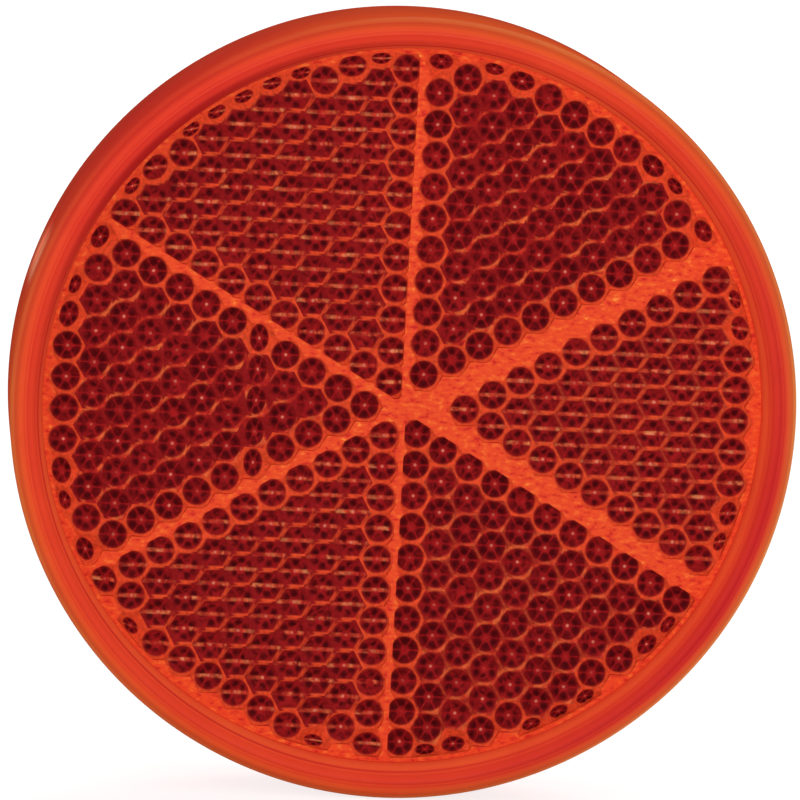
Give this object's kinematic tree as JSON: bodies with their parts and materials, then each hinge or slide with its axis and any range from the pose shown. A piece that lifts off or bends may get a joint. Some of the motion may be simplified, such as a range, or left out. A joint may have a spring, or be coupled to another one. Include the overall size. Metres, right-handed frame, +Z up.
{
  "type": "round reflector",
  "caption": "Round red retroreflector: a moulded lens with a prism-backed face and rounded rim, closed by a rear cover with a boss and a threaded mounting stud.",
  "frame": {"origin": "centre of the boss's seat, where the stud comes out", "axes": "+Y along the stud, away from the lens; the lens faces -Y; +Z is up"},
  "size_m": [0.06, 0.029, 0.06],
  "materials": {
    "lens": "clear red, polished",
    "cover": "opaque red-orange, smooth moulded",
    "stud": "zinc plated"
  },
  "bodies": {
    "root": {"lens": "lens", "back_cover": "cover", "mounting_stud": "stud"}
  },
  "joints": []
}
